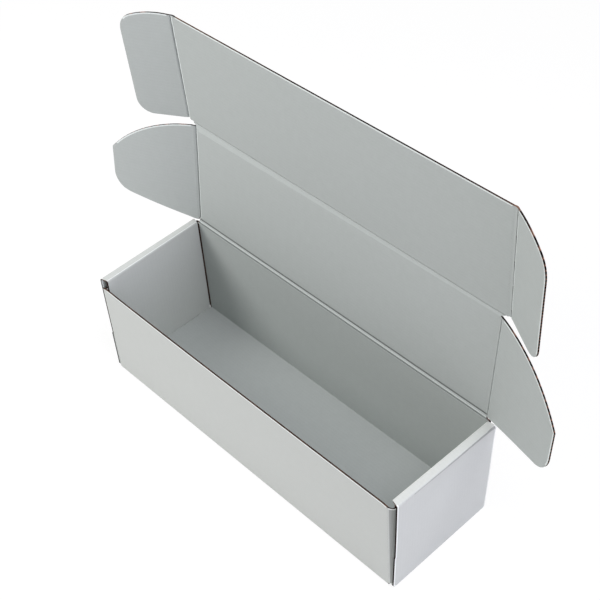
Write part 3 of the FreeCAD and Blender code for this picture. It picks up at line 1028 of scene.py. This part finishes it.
# The tuck flap's left end is cut a little lower
TOP_CUT = 2.2 * MM
tuck_top = max(v for u, v in tuck.outline)
tuck.outline = [(u, v - TOP_CUT * (v / tuck_top) * (0.5 - u / (2 * tuck_half)))
                for u, v in tuck.outline]

# The ears are a little narrow at their foot and wide at their top
EAR_FOOT = 0.98
EAR_WIDENING = {"left": 0.065, "right": 0.075}

# Lower edges that stand a little high, clear of what they pass
LOWER_EDGE = 20 * MM
FLAP_LIFT = 0.35 * MM
EAR_LIFT = 1.1 * MM

EAR_ROUNDING = 8 * MM
PALE_RIM_END = 5 * MM


def raised(outline, lift):
    """An outline with its lower edge moved up."""
    return [(u, v + (lift if v < LOWER_EDGE else 0)) for u, v in outline]


def rounded(outline, reach):
    """An ear's outline with its upper outer corner rounded over a longer reach."""
    corner = max(range(len(outline)), key=lambda i: outline[i][0])
    edge_u, edge_v = outline[corner]
    after = next(i for i in range(corner, len(outline)) if outline[i][0] < edge_u - 1.3 * reach)
    start = np.array((edge_u - 0.03 * reach, edge_v - reach))
    middle = np.array((edge_u, edge_v + 0.6 * reach))
    end = np.array(outline[after])
    curve = [(1 - t) ** 2 * start + 2 * t * (1 - t) * middle + t * t * end
             for t in np.linspace(0, 1, 9)[:-1]]
    return [*outline[:corner], *[tuple(point) for point in curve], *outline[after:]]


for side, ear in ears.items():
    ear.outline = [(u * (EAR_FOOT + EAR_WIDENING[side] * v / tuck_top), v)
                   for u, v in ear.outline]
ears["left"].outline = [(u, v * (1 - TOP_CUT / tuck_top)) for u, v in ears["left"].outline]
ears["right"].outline = raised(ears["right"].outline, EAR_LIFT)
flaps["left"].outline = raised(flaps["left"].outline, FLAP_LIFT)
for ear in ears.values():
    ear.outline = rounded(ear.outline, EAR_ROUNDING)
# The painted highlight on the rims of the left flap and ear stops short of their tips
for panel in (flaps["left"], ears["left"]):
    panel.rim_until = max(u for u, v in panel.outline) - PALE_RIM_END

lid.trim(1, LID_CREASE[1], 1)
lid.trim(1, lid_depth + TUCK_CREASE[0], -1)
lid.trim(0, lid_inner, -1)
lid.trim(0, -lid_inner, 1)
tuck.trim(0, tuck_inner, -1)
tuck.trim(0, -tuck_inner, 1)
tuck.trim(1, TUCK_CREASE[1], 1)
for panel in (*flaps.values(), *ears.values()):
    panel.trim(0, SIDE_CREASE, 1)

# How far the panels bend out of their planes, positive to the printed side
PANEL_BOW = 0.5 * MM
FLAP_BOW = {"left": -1.4 * MM, "right": 0.3 * MM}
FLAP_BOW_LENGTH = 80 * MM
EAR_BOW = {"left": -0.8 * MM, "right": -0.8 * MM}
EAR_BOW_LENGTH = 90 * MM


def lid_bow(u, v):
    across = swell((u + lid_half) / (2 * lid_half))
    depth = lid_depth + TUCK_CREASE[0] - LID_CREASE[1]
    return PANEL_BOW * across * swell((v - LID_CREASE[1]) / depth)


def tuck_bow(u, v):
    across = swell((u + tuck_half) / (2 * tuck_half))
    height = swell((v - TUCK_CREASE[1]) / (tuck_top - TUCK_CREASE[1]))
    return -PANEL_BOW * across * height * (0.6 + 0.4 * np.sin(u * 9))


def side_bow(depth, length):
    """How a side flap or an ear bends over its length."""
    return lambda u, v: depth * swell((u - SIDE_CREASE) / length)


panels = [
    (lid, lid_bow, (-lid_inner, lid_inner), (LID_CREASE[1], lid_depth + TUCK_CREASE[0]), (0, 0)),
    (tuck, tuck_bow, (-tuck_inner, tuck_inner), (TUCK_CREASE[1],), (0, 0.2)),
]
for group, bows, length in ((flaps, FLAP_BOW, FLAP_BOW_LENGTH), (ears, EAR_BOW, EAR_BOW_LENGTH)):
    for side, sign in SIDES:
        panels.append((group[side], side_bow(bows[side], length), (SIDE_CREASE,), (),
                       (0.4, 0.1 + 0.05 * sign)))
for panel, bow, joined_u, joined_v, origin in panels:
    show([panel.board(bow, joined_u, joined_v, origin)], panel.body, panel.node)

upward = np.array([0.0, 0.0, 1.0])
hinge_ends = [wall_end(side, True) + side * splay(side, 1, WALL_MIDDLE, HINGE_HEIGHT)
              for side in (-1, 1)]
lid_reach = lid_half + 1.0 * MM
# The lid crease's bands: painted shade below the hinge, then a painted highlight and painted
# shade above it
Crease(lid, upward,
       [(LID_CREASE[0], *hinge_ends), (LID_STEP[0], *hinge_ends),
        (LID_STEP[1], -lid_reach, lid_reach), (LID_CREASE[1], -lid_reach, lid_reach)],
       relief=[(-3, 0), (-2.2, 0.05), (-1.7, -0.45), (-1.3, -0.45), (0.0, 0.05), (0.6, 0.2),
               (1.9, 0.2), (2.7, -0.95), (4.4, -0.95), (5.0, -0.05), (6, 0)],
       bands=[(-1.9, -1.9, -1.2, CREASE_PAINTED_SHADE), (0.5, 0.5, 1.7, CREASE_PAINTED_HIGHLIGHT),
              (2.4, 2.4, 4.8, CREASE_PAINTED_SHADE)]
       ).build("lid_crease")

# Half the length of the tuck crease's strip, from its lid side to its flap side
at_shoulder = mix(lid_half, tuck_half, CREASE_HALF / SHOULDER)
tuck_ends = [(TUCK_CREASE[0], lid_inner), (-TUCK_STEP, lid_inner), (-CREASE_HALF, lid_half),
             (0.0, lid_half), (CREASE_HALF, at_shoulder), (TUCK_STEP, tuck_inner),
             (TUCK_CREASE[1], tuck_inner)]
# The tuck crease's bands: painted light across the hinge and painted shade on the flap side
Crease(tuck, lid.reach, [(d, -half, half) for d, half in tuck_ends],
       relief=[(-8, 0), (-3, -0.1), (1.4, -0.05), (2.0, -0.9), (3.0, -0.9), (3.5, 0.05), (6, 0)],
       bands=[(-5.2, -1.0, 1.7, CREASE_PAINTED_LIGHT), (1.9, 1.9, 3.4, CREASE_PAINTED_SHADE)],
       bead=-0.05).build("tuck_crease")

# Side creases, in millimetres: how far from the hinge the groove is at its foot, how much
# further out it is at its top, how far from the hinge the painted half shade beside it ends,
# and how far from the groove the painted shade and the painted highlight beside it end
GROOVE = {("flap", -1): (-0.6, 1.0, 2.4, 0.36, 1.6), ("flap", 1): (1.9, 0.0, 1.9, 0.40, 1.15),
          ("ear", -1): (0.2, 2.2, 2.0, 0.32, 1.8), ("ear", 1): (1.7, 1.1, 1.7, 0.66, 1.6)}
GROOVE_SHAPE = ((-0.8, 0.05), (-0.45, -0.85), (0.45, -0.85), (0.8, 0.05))
HIGHLIGHT_START = 0.6
for side, sign in SIDES:
    sideways = np.array([sign, 0.0, 0.0])
    for kind, panel in (("flap", flaps[side]), ("ear", ears[side])):
        child_low, child_high = extent_at(panel.outline, 0, SIDE_CREASE)
        groove, slant, half_shade_end, shade_end, highlight_end = GROOVE[kind, sign]
        pale = sorted([groove + sign * max(HIGHLIGHT_START, shade_end), groove + sign * highlight_end])
        if kind == "flap":
            low, high = LID_CREASE[1], lid_depth - CREASE_HALF
            ends = [(-CREASE_HALF, low, high), (0.0, low, high),
                    (STEP_WIDTH, low, child_high), (FLAP_STEP, low, child_high),
                    (FLAP_STEP + STEP_WIDTH, child_low, child_high),
                    (SIDE_CREASE, child_low, child_high)]
        else:
            low, high = extent_at(tuck.outline, 0, sign * tuck_inner)
            ends = [(-CREASE_HALF, CREASE_HALF, high), (0.0, SHOULDER, (high + child_high) / 2),
                    (SIDE_CREASE, child_low, child_high)]
        Crease(panel, sideways, ends,
               relief=[(-3, 0), *[(groove + d, height) for d, height in GROOVE_SHAPE],
                       (SIDE_CREASE / MM, 0)],
               bands=[(groove - shade_end, groove - shade_end, groove + shade_end,
                       CREASE_PAINTED_SHADE),
                      (pale[0], pale[0], pale[1], CREASE_PAINTED_HIGHLIGHT),
                      (groove, groove, half_shade_end, CREASE_PAINTED_HALF_SHADE)],
               free=kind == "ear", slant=slant).build(f"{panel.body}_crease")

# ---------------------------------------------------------------- stage

def make_stage():
    floor_mesh = bpy.data.meshes.new("floor")
    reach = 6.0
    corners = [(-reach, -reach, 0), (reach, -reach, 0), (reach, reach, 0), (-reach, reach, 0)]
    floor_mesh.from_pydata(corners, [], [(0, 1, 2, 3)])
    floor = new_object("floor", floor_mesh)
    material = bpy.data.materials.new("pale floor")
    nodes = Nodes(material)
    lit = nodes.add("ShaderNodeBsdfDiffuse", None, {"Color": (0.80, 0.80, 0.80, 1)})
    glow = nodes.add("ShaderNodeEmission", None, {"Color": (1, 1, 1, 1), "Strength": 1.08})
    mixed = nodes.add("ShaderNodeMixShader", None,
                      {0: nodes.seen() * 0.8, 1: lit.outputs[0], 2: glow.outputs[0]})
    nodes.add("ShaderNodeOutputMaterial", None, {"Surface": mixed.outputs[0]})
    floor_mesh.materials.append(material)


def make_world():
    """White where it is seen, dimmer where it only gives light."""
    world = bpy.data.worlds.new("studio")
    nodes = Nodes(world)
    level = nodes.add("ShaderNodeMix", None, {0: nodes.seen(), 2: 0.40, 3: 1.0}).outputs[0]
    background = nodes.add("ShaderNodeBackground", None,
                           {"Color": (1, 1, 1, 1), "Strength": level})
    nodes.add("ShaderNodeOutputWorld", None, {"Surface": background.outputs[0]})
    bpy.context.scene.world = world


def make_lamp(name, place, target, size, power, colour):
    lamp = bpy.data.lights.new(name, "AREA")
    lamp.color = colour
    lamp.shape = "DISK"
    lamp.size = size
    lamp.energy = power
    made = new_object(name, lamp)
    made.location = place
    made.rotation_mode = "QUATERNION"
    made.rotation_quaternion = (Vector(target) - Vector(place)).to_track_quat("-Z", "Y")


def make_camera():
    camera = bpy.data.cameras.new("camera")
    camera.sensor_width = 36
    camera.lens = 77.27
    made = new_object("camera", camera)
    made.location = (0.5687, -0.4796, 0.8875)
    made.rotation_euler = (0.797515, 0.047791, 0.802833)
    bpy.context.scene.camera = made


make_stage()
make_world()
make_lamp("front left", (-0.86, -0.88, 1.0), (-0.1, 0, 0.15), 0.8, 11.6, (1.0, 0.99, 0.98))
make_lamp("right", (1.5, -0.1, 0.18), (0, 0, 0.08), 0.7, 5.8, (0.80, 0.78, 1.0))
make_lamp("overhead", (0.62, 0.05, 1.34), (0, 0, 0.1), 0.8, 10.4, (0.945, 0.935, 1.0))
make_camera()
bpy.context.scene.view_settings.view_transform = "Standard"
